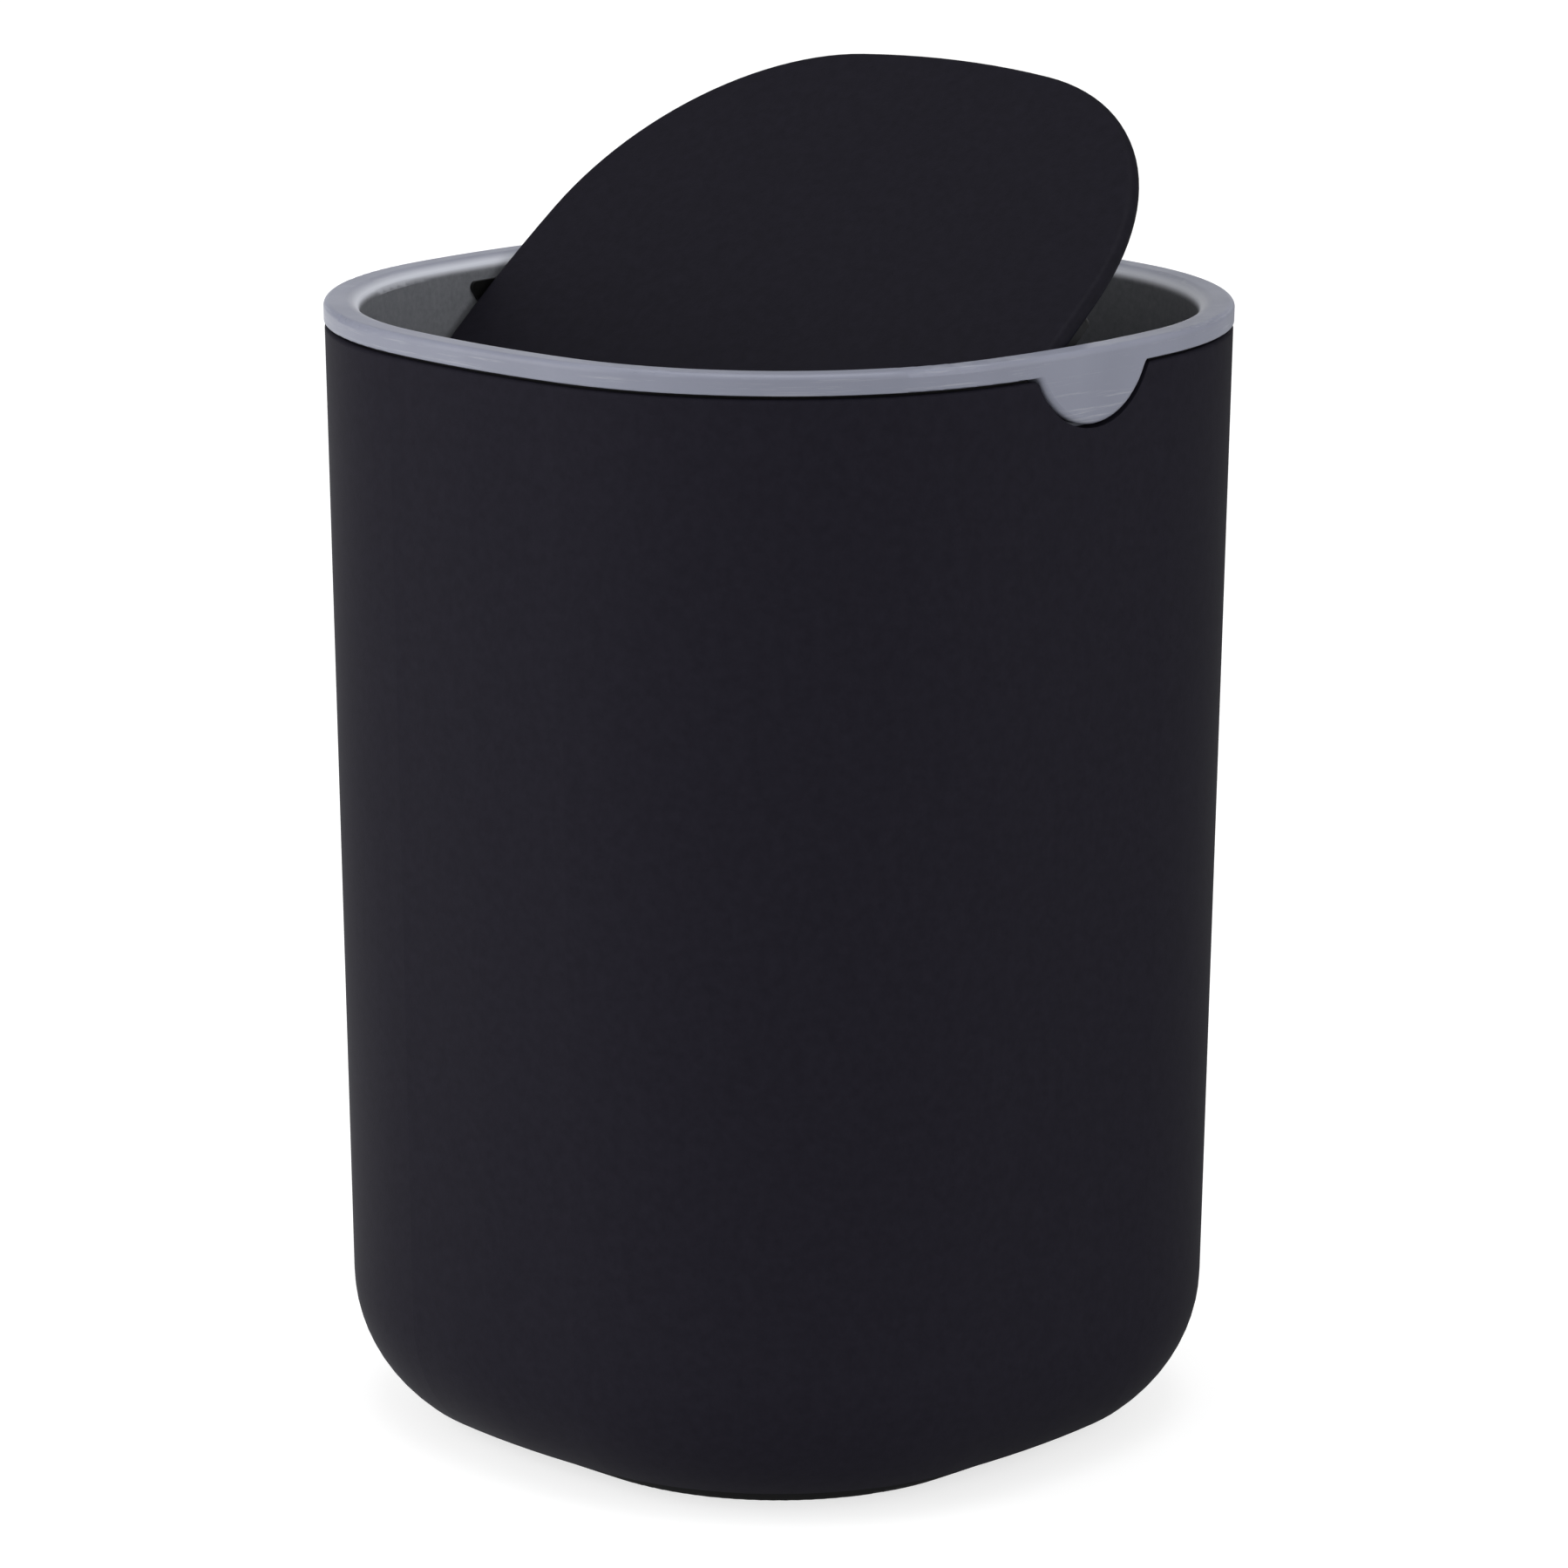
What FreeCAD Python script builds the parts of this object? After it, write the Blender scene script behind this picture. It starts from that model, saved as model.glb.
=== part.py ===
import FreeCAD, Part
import math
import os

# Tabletop trash can: a tub on a non-slip foot, a lift-off collar with a pull tab, and a lid that swings
# in the collar on two pins. Millimetres, +Z up, origin at the bottom centre of the foot. The tab is on
# the +X side and the lid's pins lie along X. The lid is drawn swung open.

Vector = FreeCAD.Vector
UP = Vector(0, 0, 1)
ALONG_X = Vector(1, 0, 0)
MIDDLE = Vector(0, 0, 0)

# Tub
body_half = 62.5
body_corner_centre = 11.3
body_side_bow = 0.68
body_height = 162.0
body_wall = 2.6
body_floor = 3.0
body_draft_deg = 1.0
body_edge_radius = 0.6
base_inset = 11.3
base_radius = 23.0

# Foot under the tub
foot_height = 3.0
foot_setback = 5.8
foot_corner_centre = 11.6
foot_side_bow = 0.2
foot_width = 7.0
foot_edge_radius = 0.5
foot_tongue_width = 3.0
foot_tongue_height = 1.4

# Joint line between tub and collar, one width along the rim and round the tab
joint_gap = 0.5
seal_inset = 1.0
seal_width = 0.95

# Collar
rim_height = 3.0
rim_overhang = 0.1
rim_outer_radius = 0.9
rim_inner_radius = 2.2
rim_lower_radius = 0.2
skirt_clearance = 0.35
skirt_thickness = 2.25
skirt_depth = 20.0
skirt_edge_radius = 0.5
tab_radius = 11.9
tab_drop = 10.9
tab_edge_radius = 0.9
tab_shoulder_lift = 0.2
notch_corner_radius = 1.5

# Lid
lid_open_deg = 38.8
lid_top_gap = 0.35
lid_thickness = 2.6
lid_edge_flat = 0.2
lid_end_gap = 1.25
lid_side_gap = 4.25
lid_corner_centre = 14.1
lid_end_bow = 0.34
lid_side_bow = 0.79

# Pivot pins
pin_radius = 1.2
pin_length = 12.0
pin_chamfer = 0.3
pin_running_clearance = 0.05
pin_end_gap = 0.4

# Bearing inserts in the skirt
bearing_top_half = 9.7
bearing_bottom_half = 4.4
bearing_cover = 1.05
bearing_fall = 5.0
bearing_corner_radius = 0.9
bearing_lip = 0.5
bearing_face_thickness = 0.6

# Hinge brackets under the lid
bracket_inset = 1.2
bracket_length = 12.0
bracket_cover = 1.5
bracket_wall = 1.6
bracket_flange_half = 11.0
bracket_flange_thickness = 1.6
bracket_corner_radius = 2.0

# Bracket screws
screw_radius = 1.0
screw_skin = 0.7
screw_clearance = 0.1
screw_head_radius = 1.8
screw_head_height = 1.2
screw_head_edge_radius = 0.5
screw_recess_length = 2.0
screw_recess_width = 0.5
screw_recess_depth = 0.7

# Cuts run past the faces that they open by this much
overrun = 1.0

# Heights
base_z = foot_height
floor_z = base_z + body_floor
body_top = base_z + body_height
rim_bottom = body_top + joint_gap
rim_top = rim_bottom + rim_height
plate_bottom = rim_top - lid_top_gap - lid_thickness
axis_z = plate_bottom - bracket_cover - pin_radius
skirt_bottom = rim_bottom - skirt_depth

# Insets from the tub's outline
skirt_inset = body_wall + skirt_clearance
rim_inner_inset = skirt_inset + skirt_thickness
foot_half = body_half - base_inset - foot_setback
lid_half_x = body_half - rim_inner_inset - lid_end_gap
lid_half_y = body_half - rim_inner_inset - lid_side_gap

# Places along and across the pivot
bracket_outer_x = lid_half_x - bracket_inset
bracket_inner_x = bracket_outer_x - bracket_length
bracket_radius = pin_radius + bracket_wall
screw_x = (bracket_outer_x + bracket_inner_x) / 2
screw_y = (bracket_radius + bracket_flange_half) / 2
screw_places = [(side * screw_x, across * screw_y) for side in (1, -1) for across in (1, -1)]

draft = math.radians(body_draft_deg)


def arc(start, middle, end):
    return Part.Arc(start, middle, end).toShape()


def line(start, end):
    return Part.LineSegment(start, end).toShape()


def outline(half_x, half_y, centre_x, bow_x, bow_y, z):
    """Rounded outline with bulged sides, as tangent arcs, starting in the middle of the +X side.

    The bow is how far the crown of a side stands past the reach of its corner arcs.
    """
    corner = half_x - bow_x - centre_x
    centre_y = half_y - bow_y - corner
    side_x = corner + bow_x / 2 + centre_y**2 / (2 * bow_x)
    side_y = corner + bow_y / 2 + centre_x**2 / (2 * bow_y)
    reach_x = math.atan2(centre_y, centre_x - half_x + side_x)
    reach_y = math.pi / 2 - math.atan2(centre_x, centre_y - half_y + side_y)
    quarter = [
        (half_x - side_x, 0, side_x, 0, reach_x),
        (centre_x, centre_y, corner, reach_x, reach_y),
        (0, half_y - side_y, side_y, reach_y, math.pi / 2),
    ]
    edges = []
    for sign_x, sign_y in ((1, 1), (-1, 1), (-1, -1), (1, -1)):
        for x, y, radius, first, last in quarter[::sign_x * sign_y]:
            angles = (first, (first + last) / 2, last)[::sign_x * sign_y]
            edges.append(arc(*[
                Vector(sign_x * (x + radius * math.cos(angle)), sign_y * (y + radius * math.sin(angle)), z)
                for angle in angles
            ]))
    return Part.Wire(edges)


def body_outline(z, inset=0):
    half = body_half - inset
    return outline(half, half, body_corner_centre, body_side_bow, body_side_bow, z)


def foot_outline(z):
    return outline(foot_half, foot_half, foot_corner_centre, foot_side_bow, foot_side_bow, z)


def lid_outline(z):
    return outline(lid_half_x, lid_half_y, lid_corner_centre, lid_end_bow, lid_side_bow, z)


def swept(path, edges):
    """Ring whose section, drawn in the XZ plane on the +X side, runs once round a path with four like sides.

    The quarter turn puts the seam on the +Y side, clear of the tab and the pivots.
    """
    ring = path.makePipe(Part.Face(Part.Wire(edges)))
    ring.rotate(MIDDLE, UP, 90)
    return ring.removeSplitter()


def rounded(points, radii, closed=True):
    """Edges through the points, with each corner rounded by its radius."""
    stations = []
    for i, (point, radius) in enumerate(zip(points, radii)):
        before = (points[i - 1] - point).normalize()
        after = (points[(i + 1) % len(points)] - point).normalize()
        half_angle = before.getAngle(after) / 2
        run = radius / math.tan(half_angle)
        crown = point + (before + after).normalize() * (radius / math.sin(half_angle) - radius)
        stations.append((point + before * run, crown, point + after * run))
    edges = []
    for i, (enter, crown, leave) in enumerate(stations):
        if radii[i] > 0:
            edges.append(arc(enter, crown, leave))
        if closed or i + 1 < len(points):
            edges.append(line(leave, stations[(i + 1) % len(points)][0]))
    return edges


def sharp(points):
    return rounded(points, [0] * len(points))


def section_point(inset, z):
    return Vector(body_half - inset, 0, z)


def lean(z):
    """Extra inset of a wall below the tub's top edge, from the draft."""
    return (body_top - z) * math.tan(draft)


def shell_section(inset, radius, bottom):
    """Points of a tub wall: top, end of the straight wall, crown and end of its bottom bend.

    All walls share the centre of the outer bend, so the wall keeps its thickness round it.
    """
    down = Vector(-math.sin(draft), 0, -math.cos(draft))
    inward = Vector(-math.cos(draft), 0, math.sin(draft))
    start = section_point(0, body_top) + inward * base_radius
    back = start - section_point(base_inset, base_z)
    along = down.dot(back)
    centre = start - down * (along + math.sqrt(along**2 - back.dot(back) + base_radius**2))
    tangent = centre - inward * radius
    end = Vector(centre.x + math.sqrt(radius**2 - (centre.z - bottom)**2), 0, bottom)
    crown = centre + (tangent + end - centre * 2).normalize() * radius
    return section_point(inset, body_top), tangent, crown, end


def tab_shape(radius, corner, shoulder, top, outer_inset):
    """Half-round block through the +X wall, whose sides flare out to a shoulder, with a straight neck above."""
    x = body_half - rim_inner_inset
    centre = Vector(x, 0, rim_top - tab_drop + tab_radius)
    flare_z = shoulder - corner
    flare_y = math.sqrt((radius + corner)**2 - (centre.z - flare_z)**2)
    flare = Vector(x, flare_y, flare_z)
    touch = centre + (flare - centre).normalize() * radius
    crown = flare + (touch - flare + UP * corner).normalize() * corner
    right = [Vector(x, flare_y, shoulder), crown, touch]
    left = [Vector(p.x, -p.y, p.z) for p in reversed(right)]
    top_right = Vector(x, flare_y, top)
    top_left = Vector(x, -flare_y, top)
    edges = [
        arc(*right),
        arc(touch, centre - UP * radius, left[0]),
        arc(*left),
        line(left[-1], top_left),
        line(top_left, top_right),
        line(top_right, right[0]),
    ]
    return Part.Face(Part.Wire(edges)).extrude(ALONG_X * (rim_inner_inset - outer_inset))


def tab_notch(top, outer_inset):
    """Room for the tab in the tub and the seal, a joint gap larger all round."""
    return tab_shape(tab_radius + joint_gap, notch_corner_radius, body_top, top, outer_inset)


def band(outer_inset, inner_inset, low, high):
    """Drafted ring between two insets and two heights."""
    return swept(body_outline(high), sharp([
        section_point(outer_inset + lean(high), high),
        section_point(inner_inset + lean(high), high),
        section_point(inner_inset + lean(low), low),
        section_point(outer_inset + lean(low), low),
    ]))


def keystone(shrink):
    """Bearing outline about the lid's axis, drawn in by the shrink, as a block from the middle out to +X."""
    high = axis_z + pin_radius + bearing_cover - shrink
    low = axis_z - bearing_fall + shrink
    top_half = bearing_top_half - shrink
    bottom_half = bearing_bottom_half - shrink
    corners = [
        Vector(0, top_half, high),
        Vector(0, -top_half, high),
        Vector(0, -bottom_half, low),
        Vector(0, bottom_half, low),
    ]
    face = Part.Face(Part.Wire(rounded(corners, [bearing_corner_radius] * len(corners))))
    return face.extrude(ALONG_X * body_half)


def placed(shape, side):
    """The shape drawn on the +X side, or turned half round for the other side."""
    shape = shape.copy()
    if side < 0:
        shape.rotate(MIDDLE, UP, 180)
    return shape


def swung(shape):
    """Turns a piece drawn with the lid shut to the lid's open angle."""
    shape.rotate(UP * axis_z, ALONG_X, lid_open_deg)
    return shape


def screw_rods(radius, low, high):
    return [Part.makeCylinder(radius, high - low, Vector(x, y, low)) for x, y in screw_places]


def make_bin_body():
    top_outer, wall_end, crown, base_edge = shell_section(0, base_radius, base_z)
    inner_radius = base_radius - body_wall * math.cos(draft)
    top_inner, inner_end, inner_crown, floor_edge = shell_section(body_wall, inner_radius, floor_z)
    floor_rim = Vector(foot_half, 0, floor_z)
    under_floor = Vector(foot_half, 0, base_z)
    wall = rounded(
        [wall_end, top_outer, top_inner, inner_end],
        [0, body_edge_radius, body_edge_radius, 0],
        closed=False,
    )
    bend = [
        arc(inner_end, inner_crown, floor_edge),
        line(floor_edge, floor_rim),
        line(floor_rim, under_floor),
        line(under_floor, base_edge),
        arc(base_edge, crown, wall_end),
    ]
    shell = swept(body_outline(body_top), wall + bend)
    floor = Part.Face(body_outline(base_z, body_half - foot_half)).extrude(UP * body_floor)
    notch = tab_notch(body_top + overrun, -overrun)
    return shell.fuse(floor).removeSplitter().cut(foot_tongue()).cut(notch)


def foot_tongue():
    """Rib on the foot that fills a groove under the tub's floor."""
    outer = foot_half - (foot_width - foot_tongue_width) / 2
    inner = outer - foot_tongue_width
    top = base_z + foot_tongue_height
    return swept(foot_outline(base_z), sharp([
        Vector(outer, 0, base_z),
        Vector(inner, 0, base_z),
        Vector(inner, 0, top),
        Vector(outer, 0, top),
    ]))


def make_base_foot():
    inner = foot_half - foot_width
    corners = [
        Vector(foot_half, 0, base_z),
        Vector(foot_half, 0, 0),
        Vector(inner, 0, 0),
        Vector(inner, 0, base_z),
    ]
    pad = swept(foot_outline(0), rounded(corners, [0, foot_edge_radius, foot_edge_radius, 0]))
    return pad.fuse(foot_tongue()).removeSplitter()


def make_rim_collar():
    """Rim, skirt and pull tab. The tab is cut from an apron that runs all round below the rim."""
    apron_bottom = rim_top - tab_drop - overrun
    corners = [
        section_point(lean(apron_bottom) - rim_overhang, apron_bottom),
        section_point(lean(rim_top) - rim_overhang, rim_top),
        section_point(rim_inner_inset + lean(rim_top), rim_top),
        section_point(rim_inner_inset + lean(skirt_bottom), skirt_bottom),
        section_point(skirt_inset + lean(skirt_bottom), skirt_bottom),
        section_point(skirt_inset + lean(apron_bottom), apron_bottom),
    ]
    radii = [0, rim_outer_radius, rim_inner_radius, skirt_edge_radius, skirt_edge_radius, 0]
    ring = swept(body_outline(rim_top), rounded(corners, radii))
    shoulder = rim_bottom + tab_shoulder_lift
    flare = notch_corner_radius + joint_gap
    tab = ring.common(tab_shape(tab_radius, flare, shoulder, rim_bottom + rim_height / 2, -overrun))
    tab = tab.makeFillet(tab_edge_radius, outer_edges(tab, shoulder))
    collar = ring.cut(band(-overrun, skirt_inset, apron_bottom - overrun, rim_bottom))
    collar = collar.makeFillet(rim_lower_radius, outer_edges(collar, rim_bottom + rim_lower_radius))
    window = keystone(bearing_lip).common(band(skirt_inset, rim_inner_inset + overrun, skirt_bottom, rim_top))
    return collar.fuse(tab).removeSplitter().cut(window).cut(placed(window, -1))


def outer_edges(shape, high):
    """Edges on the collar's outer face whose middles lie below a height."""
    core = Part.Face(body_outline(0, body_wall / 2)).extrude(UP * rim_top)
    edges = []
    for edge in shape.Edges:
        middle = edge.valueAt((edge.FirstParameter + edge.LastParameter) / 2)
        if middle.z < high - Part.Precision.confusion() and not core.isInside(middle, 0, True):
            edges.append(edge)
    return edges


def make_rim_seal():
    ring = swept(body_outline(body_top), sharp([
        section_point(seal_inset, body_top),
        section_point(seal_inset, rim_bottom),
        section_point(seal_inset + seal_width, rim_bottom),
        section_point(seal_inset + seal_width, body_top),
    ]))
    return ring.cut(tab_notch(rim_top, 0))


def make_pivot_bearing(side):
    face_inset = rim_inner_inset + bearing_face_thickness
    plug = keystone(bearing_lip).common(band(skirt_inset, rim_inner_inset, skirt_bottom, rim_top))
    face = keystone(0).common(band(rim_inner_inset, face_inset, skirt_bottom, rim_top))
    bore = Part.makeCylinder(pin_radius + pin_running_clearance, body_half, UP * axis_z, ALONG_X)
    return placed(plug.fuse(face).removeSplitter().cut(bore), side)


def make_lid_panel():
    plate = Part.Face(lid_outline(plate_bottom)).extrude(UP * lid_thickness)
    level = [edge for edge in plate.Edges if edge.BoundBox.ZLength < Part.Precision.confusion()]
    panel = plate.makeFillet((lid_thickness - lid_edge_flat) / 2, level)
    holes = screw_rods(screw_radius, plate_bottom - overrun, plate_bottom + lid_thickness - screw_skin)
    return swung(panel.cut(holes))


def make_hinge_bracket(side):
    x = bracket_inner_x
    half = bracket_radius
    saddle = [
        line(Vector(x, half, plate_bottom), Vector(x, -half, plate_bottom)),
        line(Vector(x, -half, plate_bottom), Vector(x, -half, axis_z)),
        arc(Vector(x, -half, axis_z), Vector(x, 0, axis_z - half), Vector(x, half, axis_z)),
        line(Vector(x, half, axis_z), Vector(x, half, plate_bottom)),
    ]
    block = Part.Face(Part.Wire(saddle)).extrude(ALONG_X * bracket_length)
    reach = bracket_flange_half
    corners = [
        Vector(x, -reach, plate_bottom),
        Vector(bracket_outer_x, -reach, plate_bottom),
        Vector(bracket_outer_x, reach, plate_bottom),
        Vector(x, reach, plate_bottom),
    ]
    flange = Part.Face(Part.Wire(rounded(corners, [bracket_corner_radius] * len(corners))))
    flange = flange.extrude(UP * -bracket_flange_thickness)
    bore = Part.makeCylinder(pin_radius, bracket_length, Vector(x, 0, axis_z), ALONG_X)
    holes = screw_rods(screw_radius + screw_clearance, axis_z - half, plate_bottom + overrun)
    return swung(placed(block.fuse(flange).removeSplitter().cut(bore).cut(holes), side))


def make_pivot_pin(side):
    inner_x = body_half - skirt_inset - pin_end_gap - pin_length
    pin = Part.makeCylinder(pin_radius, pin_length, Vector(inner_x, 0, axis_z), ALONG_X)
    rings = [edge for edge in pin.Edges if edge.BoundBox.XLength < Part.Precision.confusion()]
    return swung(placed(pin.makeChamfer(pin_chamfer, rings), side))


def make_bracket_screws():
    under_head = plate_bottom - bracket_flange_thickness
    bottom = under_head - screw_head_height
    shanks = screw_rods(screw_radius, under_head, plate_bottom + lid_thickness - screw_skin)
    heads = screw_rods(screw_head_radius, bottom, under_head)
    screws = []
    for (x, y), shank, head in zip(screw_places, shanks, heads):
        face_rim = [edge for edge in head.Edges if edge.BoundBox.ZMax < under_head]
        screw = shank.fuse(head.makeFillet(screw_head_edge_radius, face_rim)).removeSplitter()
        cross = [(screw_recess_length, screw_recess_width), (screw_recess_width, screw_recess_length)]
        for size_x, size_y in cross:
            low_corner = Vector(x - size_x / 2, y - size_y / 2, bottom)
            screw = screw.cut(Part.makeBox(size_x, size_y, screw_recess_depth, low_corner))
        screws.append(screw)
    return swung(Part.Compound(screws))


pieces = {
    "bin_body": make_bin_body(),
    "base_foot": make_base_foot(),
    "rim_collar": make_rim_collar(),
    "rim_seal": make_rim_seal(),
    "pivot_bearing_right": make_pivot_bearing(1),
    "pivot_bearing_left": make_pivot_bearing(-1),
    "lid_panel": make_lid_panel(),
    "hinge_bracket_right": make_hinge_bracket(1),
    "hinge_bracket_left": make_hinge_bracket(-1),
    "pivot_pin_right": make_pivot_pin(1),
    "pivot_pin_left": make_pivot_pin(-1),
    "bracket_screws": make_bracket_screws(),
}

os.makedirs("parts", exist_ok=True)
for name, shape in pieces.items():
    shape.exportStep("parts/" + name + ".step")
    print(name, len(shape.Solids), shape.isValid(), round(shape.Volume, 1))
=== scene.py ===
import math

import bpy
from mathutils import Matrix, Vector

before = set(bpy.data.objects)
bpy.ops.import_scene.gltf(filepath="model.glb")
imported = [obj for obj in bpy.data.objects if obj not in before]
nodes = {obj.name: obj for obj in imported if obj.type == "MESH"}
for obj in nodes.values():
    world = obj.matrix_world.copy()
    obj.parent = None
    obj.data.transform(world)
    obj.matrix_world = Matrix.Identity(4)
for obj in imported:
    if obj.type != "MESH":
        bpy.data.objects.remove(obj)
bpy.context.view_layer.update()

# Looks of a small tabletop bin: matt black tub and swing lid, satin grey collar with a pull tab.
# Metres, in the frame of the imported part: +Z up, the tab on the +X side, the lid's pins along X.

MILLIMETRE = 0.001
UP = Vector((0, 0, 1))
WHITE = (1, 1, 1, 1)

# Camera, fitted to the outlines in the photograph
IMAGE_PIXELS = 1799
FOCAL_PIXELS = 7666.67
SENSOR_WIDTH_MM = 36.0
VIEW_AZIMUTH = math.radians(44.5102)
VIEW_ELEVATION = math.radians(13.4845)
VIEW_ROLL = math.radians(0.1301)
VIEW_DISTANCE = 0.99563
TARGET_HEIGHT = 0.095039
TARGET_SHIFT = 0.00087


def make_camera():
    """Sets the camera up, and gives its right, its up and the way back from the bin to it."""
    back = Vector((
        math.sin(VIEW_AZIMUTH) * math.cos(VIEW_ELEVATION),
        -math.cos(VIEW_AZIMUTH) * math.cos(VIEW_ELEVATION),
        math.sin(VIEW_ELEVATION),
    ))
    level_right = (-back).cross(UP).normalized()
    level_up = back.cross(level_right)
    right = level_right * math.cos(VIEW_ROLL) + level_up * math.sin(VIEW_ROLL)
    up = level_up * math.cos(VIEW_ROLL) - level_right * math.sin(VIEW_ROLL)
    place = UP * TARGET_HEIGHT + level_right * TARGET_SHIFT + back * VIEW_DISTANCE
    turn = Matrix((right, up, back)).transposed().to_4x4()
    data = bpy.data.cameras.new("photo_camera")
    data.sensor_width = SENSOR_WIDTH_MM
    data.lens = FOCAL_PIXELS / IMAGE_PIXELS * SENSOR_WIDTH_MM
    camera = bpy.data.objects.new("photo_camera", data)
    camera.matrix_world = Matrix.Translation(place) @ turn
    bpy.context.scene.collection.objects.link(camera)
    bpy.context.scene.camera = camera
    return right, up, back


class Nodes:
    """A node tree, with short calls for the nodes that materials and room share."""

    def __init__(self, tree):
        self.tree = tree

    def add(self, kind, **settings):
        node = self.tree.nodes.new(kind)
        for key, value in settings.items():
            setattr(node, key, value)
        return node

    def feed(self, socket, value):
        """Links a node's output to the socket, or sets the socket to a constant."""
        if isinstance(value, bpy.types.NodeSocket):
            self.tree.links.new(value, socket)
        else:
            socket.default_value = value

    def ramp(self, value, low, high, from_low=0.0, from_high=1.0, curve="LINEAR"):
        node = self.add("ShaderNodeMapRange", interpolation_type=curve)
        node.inputs["From Min"].default_value = from_low
        node.inputs["From Max"].default_value = from_high
        node.inputs["To Min"].default_value = low
        node.inputs["To Max"].default_value = high
        self.feed(node.inputs["Value"], value)
        return node.outputs["Result"]

    def combine(self, operation, first, second):
        node = self.add("ShaderNodeMath", operation=operation)
        self.feed(node.inputs[0], first)
        self.feed(node.inputs[1], second)
        return node.outputs["Value"]

    def dot(self, first, second):
        node = self.add("ShaderNodeVectorMath", operation="DOT_PRODUCT")
        self.feed(node.inputs[0], first)
        self.feed(node.inputs[1], second)
        return node.outputs["Value"]


# Faces of the collar that turn to the part's upright axis. The turn is the normal's, times the distance
# from the axis, and the limits are the upward part of the normal where a mask starts and where it is full.
INWARD_TURN_FULL = 2 * MILLIMETRE
LIP_LIMITS = (1.0, 0.62)
WALL_LIMITS = (0.48, 0.12)


class Shader(Nodes):
    """A material with one Principled shader, and calls for the nodes that give it detail."""

    def __init__(self, name):
        self.material = bpy.data.materials.new(name)
        self.material.use_nodes = True
        super().__init__(self.material.node_tree)
        self.surface = self.tree.nodes["Principled BSDF"].inputs
        self.place = self.add("ShaderNodeTexCoord").outputs["Object"]

    def set(self, socket, value):
        self.feed(self.surface[socket], value)

    def noise(self, size, detail=2.0, roughness=0.5, squeeze=None):
        """Noise with lumps of about this size, in metres, each axis then shortened by its squeeze."""
        place = self.place
        if squeeze:
            mapping = self.add("ShaderNodeMapping", vector_type="POINT")
            mapping.inputs["Scale"].default_value = squeeze
            self.feed(mapping.inputs["Vector"], place)
            place = mapping.outputs["Vector"]
        node = self.add("ShaderNodeTexNoise")
        node.inputs["Scale"].default_value = 1 / size
        node.inputs["Detail"].default_value = detail
        node.inputs["Roughness"].default_value = roughness
        self.feed(node.inputs["Vector"], place)
        return node.outputs["Fac"]

    def mix(self, factor, first, second):
        """Colour between two colours, each a tuple or another node's output."""
        node = self.add("ShaderNodeMix", data_type="RGBA")
        self.feed(node.inputs["Factor"], factor)
        sockets = [socket for socket in node.inputs if socket.type == "RGBA"]
        for socket, colour in zip(sockets, (first, second)):
            self.feed(socket, (*colour, 1.0) if isinstance(colour, tuple) else colour)
        return [socket for socket in node.outputs if socket.type == "RGBA"][0]

    def bump(self, height, depth):
        """Bump with its full depth in metres."""
        node = self.add("ShaderNodeBump")
        node.inputs["Strength"].default_value = 1.0
        node.inputs["Distance"].default_value = depth
        self.feed(node.inputs["Height"], height)
        return node.outputs["Normal"]

    def inward(self):
        """Masks of the faces that turn inwards: a rounded lip, and the wall below it."""
        normal = self.add("ShaderNodeNewGeometry").outputs["Normal"]
        from_axis = self.add("ShaderNodeVectorMath", operation="MULTIPLY")
        from_axis.inputs[1].default_value = (1, 1, 0)
        self.feed(from_axis.inputs[0], self.place)
        turn = self.dot(normal, from_axis.outputs["Vector"])
        inner = self.ramp(turn, 0, 1, 0, -INWARD_TURN_FULL)
        split = self.add("ShaderNodeSeparateXYZ")
        self.feed(split.inputs["Vector"], normal)
        upward = split.outputs["Z"]
        lip = self.combine("MULTIPLY", inner, self.ramp(upward, 0, 1, *LIP_LIMITS))
        wall = self.combine("MULTIPLY", inner, self.ramp(upward, 0, 1, *WALL_LIMITS))
        return lip, wall

    def dress(self, *names):
        for name in names:
            mesh = nodes[name].data
            mesh.materials.clear()
            mesh.materials.append(self.material)


# The middle of a noise's range, where most of its values lie
NOISE_MIDDLE = (0.3, 0.7)

# Matt black mouldings
TUB_DARK = (0.0131, 0.0122, 0.0181)
TUB_LIGHT = (0.0162, 0.0151, 0.0223)
TUB_SHEEN = 0.03
LID_DARK = (0.0080, 0.0074, 0.0119)
LID_LIGHT = (0.0103, 0.0095, 0.0152)
LID_SHEEN = 0.08
MOULDED_PITS = 0.35 * MILLIMETRE
MOULDED_PIT_DEPTH = 0.02 * MILLIMETRE
MOULDED_MOTTLE = 1.6 * MILLIMETRE
MOULDED_FLOW = 38 * MILLIMETRE
MOULDED_FLOW_SQUEEZE = (1.0, 1.0, 0.35)
MOULDED_ROUGHNESS = (0.56, 0.66)


def moulded_black(name, dark, light, sheen):
    """Matt black moulding with a spark-eroded skin: fine pits, and a faint mottle in colour and gloss."""
    shader = Shader(name)
    pits = shader.noise(MOULDED_PITS, detail=3.0, roughness=0.6)
    mottle = shader.noise(MOULDED_MOTTLE, detail=4.0, roughness=0.65)
    flow = shader.noise(MOULDED_FLOW, detail=1.0, squeeze=MOULDED_FLOW_SQUEEZE)
    shader.set("Base Color", shader.mix(shader.ramp(mottle, 0, 1, *NOISE_MIDDLE), dark, light))
    shader.set("Roughness", shader.ramp(flow, *MOULDED_ROUGHNESS, *NOISE_MIDDLE))
    shader.set("Normal", shader.bump(pits, MOULDED_PIT_DEPTH))
    shader.set("Specular IOR Level", sheen)
    return shader


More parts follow.
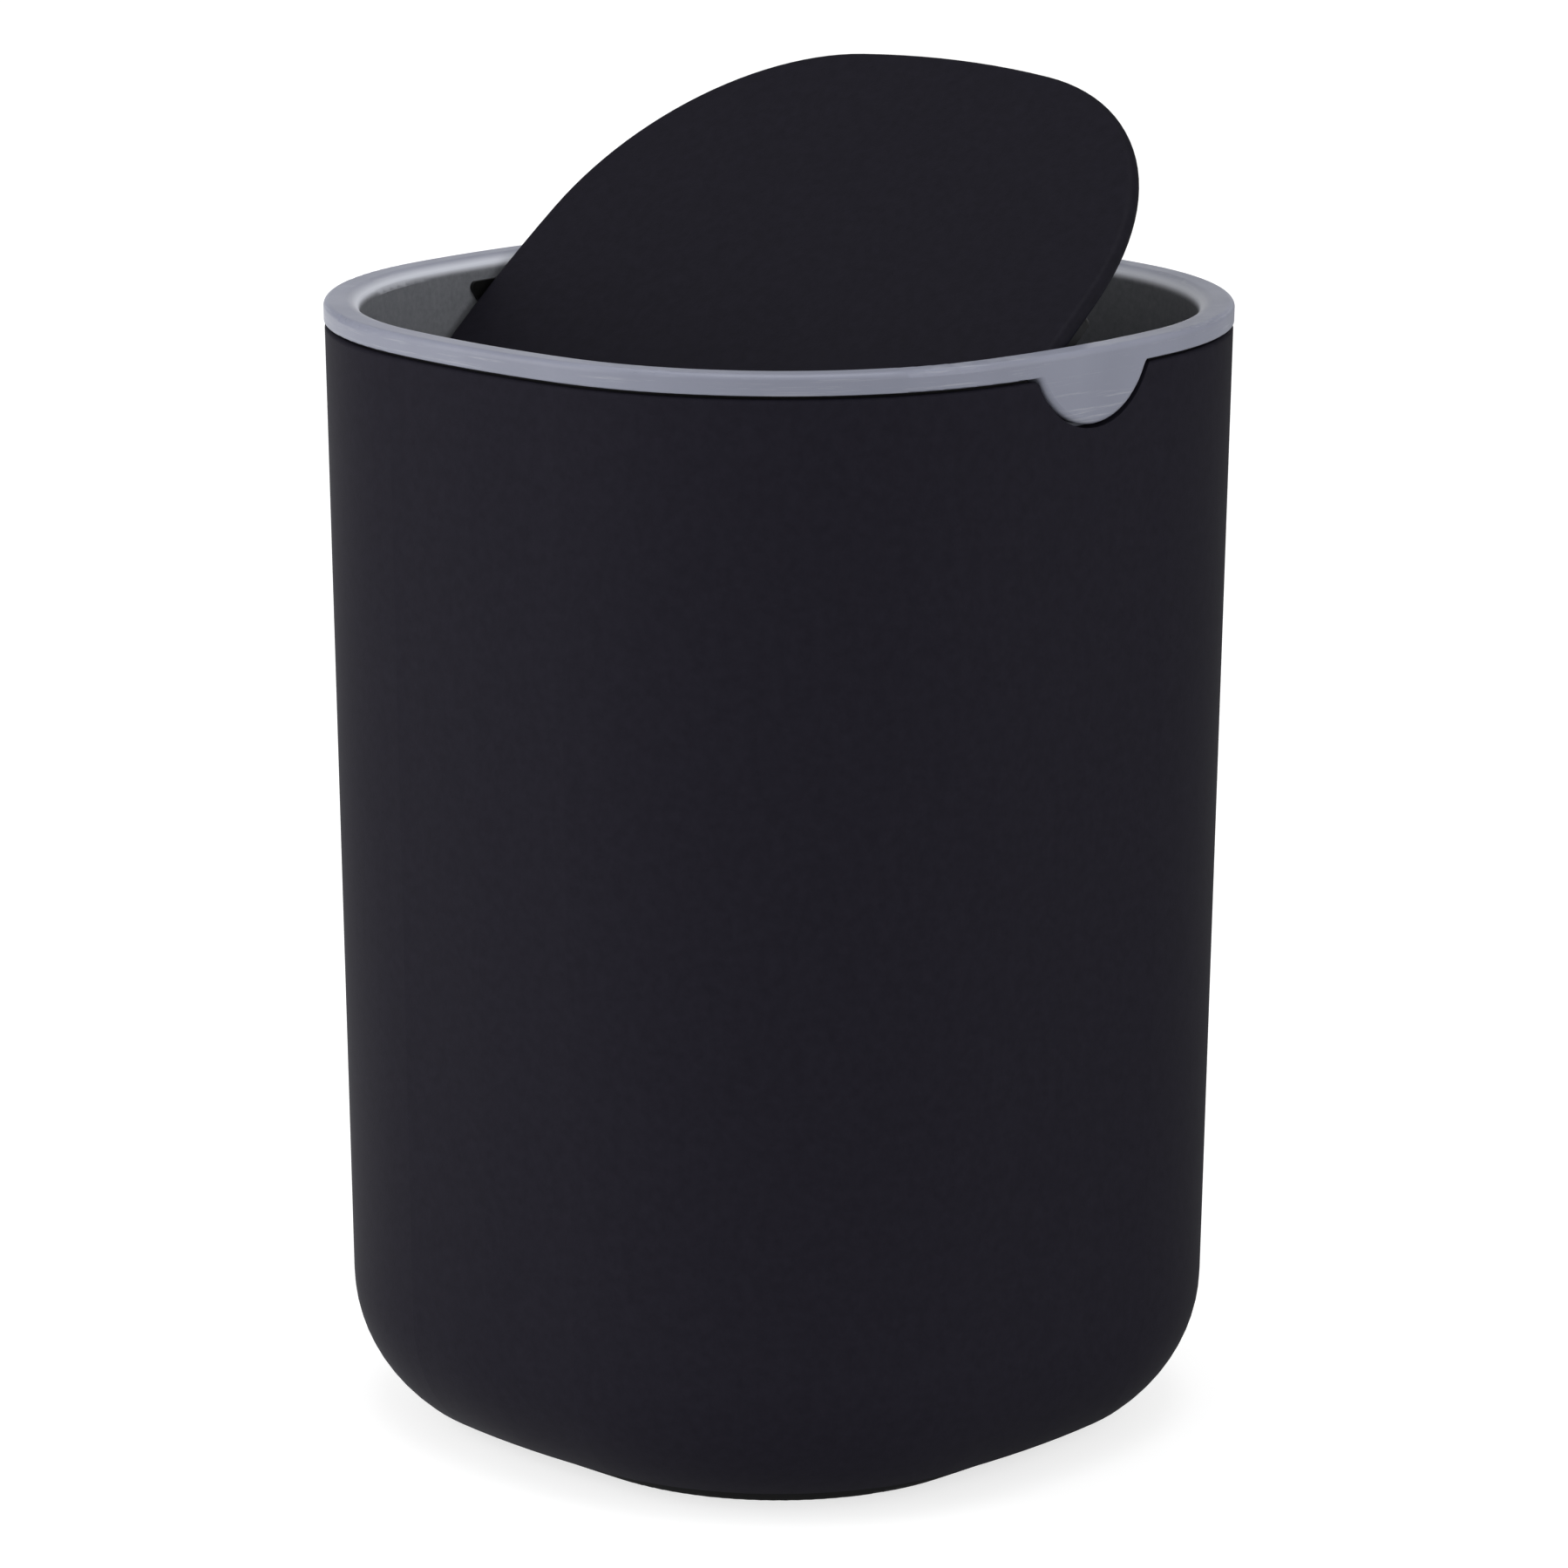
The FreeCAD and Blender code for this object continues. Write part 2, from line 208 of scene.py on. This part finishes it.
# Satin grey collar
COLLAR_DARK = (0.220, 0.231, 0.291)
COLLAR_LIGHT = (0.247, 0.259, 0.324)
COLLAR_SHEEN = 0.42
COLLAR_PITS = 0.3 * MILLIMETRE
COLLAR_PIT_DEPTH = 0.012 * MILLIMETRE
COLLAR_CLOUD = 14 * MILLIMETRE
COLLAR_ROUGHNESS = (0.36, 0.48)
COLLAR_ROUGHNESS_LIMITS = (0.35, 0.75)
SCUFF_COLOUR = (0.47, 0.48, 0.52)
SCUFF_STRENGTH = 0.62
SCUFF_LIMITS = (0.55, 0.74)
SCUFF_SIZE = 1.8 * MILLIMETRE
SCUFF_SQUEEZE = (0.10, 0.10, 3.0)
# Painted highlight: a pale colour for the rounded lip, where its faces turn up and inwards.
LIP_HIGHLIGHT_COLOUR = (0.68, 0.70, 0.77)
# Painted shade: darker colours, with a mottle, for the collar's inside wall below the lip.
INSIDE_SHADE_DARK = (0.158, 0.165, 0.182)
INSIDE_SHADE_LIGHT = (0.215, 0.222, 0.240)
INSIDE_MOTTLE = 1.1 * MILLIMETRE


def satin_grey(name):
    """Cool grey satin moulding: fine scuffs along the rim, a painted highlight on the inward lip, and
    painted shade on the wall inside.
    """
    shader = Shader(name)
    pits = shader.noise(COLLAR_PITS, detail=3.0, roughness=0.6)
    cloud = shader.noise(COLLAR_CLOUD, detail=2.0)
    streak = shader.noise(SCUFF_SIZE, detail=5.0, roughness=0.7, squeeze=SCUFF_SQUEEZE)
    mottle = shader.noise(INSIDE_MOTTLE, detail=4.0, roughness=0.7)
    outside = shader.mix(shader.ramp(cloud, 0, 1, *NOISE_MIDDLE), COLLAR_DARK, COLLAR_LIGHT)
    scuffs = shader.ramp(streak, 0, SCUFF_STRENGTH, *SCUFF_LIMITS)
    scuffed = shader.mix(scuffs, outside, SCUFF_COLOUR)
    # Painted shade: the inside wall below the lip takes this darker mottled colour.
    shaded_inside = shader.mix(shader.ramp(mottle, 0, 1, *NOISE_MIDDLE), INSIDE_SHADE_DARK, INSIDE_SHADE_LIGHT)
    lip, wall = shader.inward()
    # Painted highlight: the lip's faces are coloured pale in place of the light that falls on them.
    lip_highlighted = shader.mix(lip, scuffed, LIP_HIGHLIGHT_COLOUR)
    shader.set("Base Color", shader.mix(wall, lip_highlighted, shaded_inside))
    shader.set("Roughness", shader.ramp(streak, *COLLAR_ROUGHNESS, *COLLAR_ROUGHNESS_LIMITS))
    shader.set("Normal", shader.bump(pits, COLLAR_PIT_DEPTH))
    shader.set("Specular IOR Level", COLLAR_SHEEN)
    return shader


# Smooth black bearings and brackets
ACETAL_DARK = (0.003, 0.003, 0.003)
ACETAL_LIGHT = (0.006, 0.006, 0.006)
ACETAL_SHEEN = 0.4
ACETAL_CLOUD = 1.5 * MILLIMETRE
ACETAL_MARKS = 0.25 * MILLIMETRE
ACETAL_MARK_SQUEEZE = (1.0, 1.0, 0.2)
ACETAL_MARK_DEPTH = 0.006 * MILLIMETRE
ACETAL_ROUGHNESS = (0.32, 0.48)


def acetal_black(name):
    """Smooth black bearing plastic with faint upright moulding marks."""
    shader = Shader(name)
    cloud = shader.noise(ACETAL_CLOUD, detail=3.0)
    marks = shader.noise(ACETAL_MARKS, detail=2.0, squeeze=ACETAL_MARK_SQUEEZE)
    shader.set("Base Color", shader.mix(cloud, ACETAL_DARK, ACETAL_LIGHT))
    shader.set("Roughness", shader.ramp(cloud, *ACETAL_ROUGHNESS))
    shader.set("Normal", shader.bump(marks, ACETAL_MARK_DEPTH))
    shader.set("Specular IOR Level", ACETAL_SHEEN)
    return shader


# Black rubber of the foot, and darker of the seal
FOOT_DARK = (0.009, 0.009, 0.010)
FOOT_LIGHT = (0.017, 0.017, 0.018)
SEAL_DARK = (0.0036, 0.0036, 0.0040)
SEAL_LIGHT = (0.0068, 0.0068, 0.0072)
RUBBER_SHEEN = 0.25
RUBBER_SKIN = 0.5 * MILLIMETRE
RUBBER_SKIN_DEPTH = 0.03 * MILLIMETRE
RUBBER_BLOOM = 6 * MILLIMETRE
RUBBER_ROUGHNESS = (0.72, 0.86)


def black_rubber(name, dark, light):
    """Matt elastomer with a dusty bloom and a coarse skin."""
    shader = Shader(name)
    skin = shader.noise(RUBBER_SKIN, detail=4.0, roughness=0.7)
    bloom = shader.noise(RUBBER_BLOOM, detail=3.0)
    shader.set("Base Color", shader.mix(bloom, dark, light))
    shader.set("Roughness", shader.ramp(bloom, *RUBBER_ROUGHNESS))
    shader.set("Normal", shader.bump(skin, RUBBER_SKIN_DEPTH))
    shader.set("Specular IOR Level", RUBBER_SHEEN)
    return shader


# Stainless steel of the pins and screws
STEEL_DARK = (0.50, 0.50, 0.51)
STEEL_LIGHT = (0.60, 0.60, 0.61)
STEEL_RINGS = 0.12 * MILLIMETRE
STEEL_RING_SQUEEZE = (1.0, 0.05, 0.05)
STEEL_RING_DEPTH = 0.004 * MILLIMETRE
STEEL_CLOUD = 1.2 * MILLIMETRE
STEEL_ROUGHNESS = (0.2, 0.36)


def turned_steel(name):
    """Bright stainless bar with fine rings from the lathe, across its length along X."""
    shader = Shader(name)
    rings = shader.noise(STEEL_RINGS, detail=2.0, squeeze=STEEL_RING_SQUEEZE)
    cloud = shader.noise(STEEL_CLOUD, detail=2.0)
    shader.set("Base Color", shader.mix(cloud, STEEL_DARK, STEEL_LIGHT))
    shader.set("Roughness", shader.ramp(rings, *STEEL_ROUGHNESS))
    shader.set("Normal", shader.bump(rings, STEEL_RING_DEPTH))
    shader.set("Metallic", 1.0)
    return shader


moulded_black("tub_black", TUB_DARK, TUB_LIGHT, TUB_SHEEN).dress("bin_body")
moulded_black("lid_black", LID_DARK, LID_LIGHT, LID_SHEEN).dress("lid_panel")
satin_grey("collar_grey").dress("rim_collar")
acetal_black("bearing_black").dress(
    "pivot_bearing_right", "pivot_bearing_left", "hinge_bracket_right", "hinge_bracket_left")
black_rubber("foot_rubber", FOOT_DARK, FOOT_LIGHT).dress("base_foot")
black_rubber("seal_rubber", SEAL_DARK, SEAL_LIGHT).dress("rim_seal")
turned_steel("pin_steel").dress("pivot_pin_right", "pivot_pin_left", "bracket_screws")


# Floor: plain, it keeps the bin's shadow. It is lifted to white where the camera looks at it and, in
# reflections, on the left of the picture: from none at the first place across to full at the second.
FLOOR_HALF = 6.0
FLOOR_COLOUR = (0.50, 0.50, 0.50, 1.0)
FLOOR_GLOW = 0.70
FLOOR_WHITE_LIMITS = (0.12, -0.05)


def make_floor(right):
    mesh = bpy.data.meshes.new("floor")
    corners = [(x * FLOOR_HALF, y * FLOOR_HALF, 0) for x, y in ((-1, -1), (1, -1), (1, 1), (-1, 1))]
    mesh.from_pydata(corners, [], [(0, 1, 2, 3)])
    floor = bpy.data.objects.new("floor", mesh)
    bpy.context.scene.collection.objects.link(floor)
    shader = Shader("floor")
    shader.set("Base Color", FLOOR_COLOUR)
    shader.set("Roughness", 1.0)
    shader.set("Specular IOR Level", 0.0)
    shader.set("Emission Color", WHITE)
    path = shader.add("ShaderNodeLightPath").outputs
    across = shader.dot(shader.place, right)
    left_part = shader.ramp(across, 0, 1, *FLOOR_WHITE_LIMITS, "SMOOTHSTEP")
    reflected = shader.combine("MULTIPLY", path["Is Glossy Ray"], left_part)
    seen = shader.combine("MAXIMUM", path["Is Camera Ray"], reflected)
    shader.set("Emission Strength", shader.combine("MULTIPLY", seen, FLOOR_GLOW))
    mesh.materials.append(shader.material)


# Room: brightest at the horizon, dim in reflections, with a white backdrop behind the bin for them. The
# limits are the cosine of the angle from the backdrop's middle where its white starts and where it is full.
ROOM_HORIZON = 1.45
ROOM_ZENITH = 0.20
ROOM_SHEEN = 0.15
BACKDROP_LEVEL = 1.0
BACKDROP_RISE = math.radians(-6)
BACKDROP_LIMITS = (0.88, 0.98)


class Room(Nodes):
    """The world's node tree."""

    def glow(self, strength):
        node = self.add("ShaderNodeBackground")
        node.inputs["Color"].default_value = WHITE
        self.feed(node.inputs["Strength"], strength)
        return node.outputs["Background"]

    def blend(self, factor, first, second):
        node = self.add("ShaderNodeMixShader")
        for socket, value in zip(node.inputs, (factor, first, second)):
            self.feed(socket, value)
        return node.outputs["Shader"]


def make_world(back):
    world = bpy.data.worlds.new("studio")
    bpy.context.scene.world = world
    world.use_nodes = True
    world.node_tree.nodes.clear()
    room = Room(world.node_tree)
    direction = room.add("ShaderNodeTexCoord").outputs["Generated"]
    path = room.add("ShaderNodeLightPath").outputs
    behind = Vector((-back.x, -back.y, 0)).normalized()
    backdrop = behind * math.cos(BACKDROP_RISE) + UP * math.sin(BACKDROP_RISE)
    white_part = room.ramp(room.dot(direction, backdrop), 0, 1, *BACKDROP_LIMITS, "SMOOTHSTEP")
    reflected = room.combine("MULTIPLY", path["Is Glossy Ray"], white_part)
    white = room.combine("MAXIMUM", path["Is Camera Ray"], reflected)
    level = room.ramp(room.dot(direction, UP), ROOM_HORIZON, ROOM_ZENITH)
    plain = room.blend(path["Is Glossy Ray"], room.glow(level), room.glow(ROOM_SHEEN))
    whole = room.blend(white, plain, room.glow(BACKDROP_LEVEL))
    room.feed(room.add("ShaderNodeOutputWorld").inputs["Surface"], whole)


# Soft boxes: one on each side of the camera's view and one overhead, all aimed at the bin's middle
AIM = Vector((0, 0, 0.1))
SIDE_BOX_SIZE = (1.0, 1.2)
SIDE_BOX_REACH = 1.3
LEFT_BOX_FORWARD = 0.3
LEFT_BOX_LIFT = 0.35
LEFT_BOX_WATTS = 8.8
RIGHT_BOX_FORWARD = 0.6
RIGHT_BOX_LIFT = 0.4
RIGHT_BOX_WATTS = 4.4
TOP_BOX_SIZE = (0.9, 0.9)
TOP_BOX_HEIGHT = 1.3
TOP_BOX_FORWARD = 0.1
TOP_BOX_WATTS = 6


def soft_box(name, place, size, watts):
    data = bpy.data.lights.new(name, "AREA")
    data.shape = "RECTANGLE"
    data.size, data.size_y = size
    data.energy = watts
    lamp = bpy.data.objects.new(name, data)
    lamp.location = place
    lamp.rotation_euler = (AIM - place).to_track_quat("-Z", "Y").to_euler()
    bpy.context.scene.collection.objects.link(lamp)


right, up, back = make_camera()
make_floor(right)
make_world(back)
left_place = AIM - right * SIDE_BOX_REACH + back * LEFT_BOX_FORWARD + up * LEFT_BOX_LIFT
right_place = AIM + right * SIDE_BOX_REACH + back * RIGHT_BOX_FORWARD + up * RIGHT_BOX_LIFT
top_place = AIM + UP * TOP_BOX_HEIGHT + back * TOP_BOX_FORWARD
soft_box("left_box", left_place, SIDE_BOX_SIZE, LEFT_BOX_WATTS)
soft_box("right_box", right_place, SIDE_BOX_SIZE, RIGHT_BOX_WATTS)
soft_box("top_box", top_place, TOP_BOX_SIZE, TOP_BOX_WATTS)

bpy.context.scene.view_settings.view_transform = "Standard"
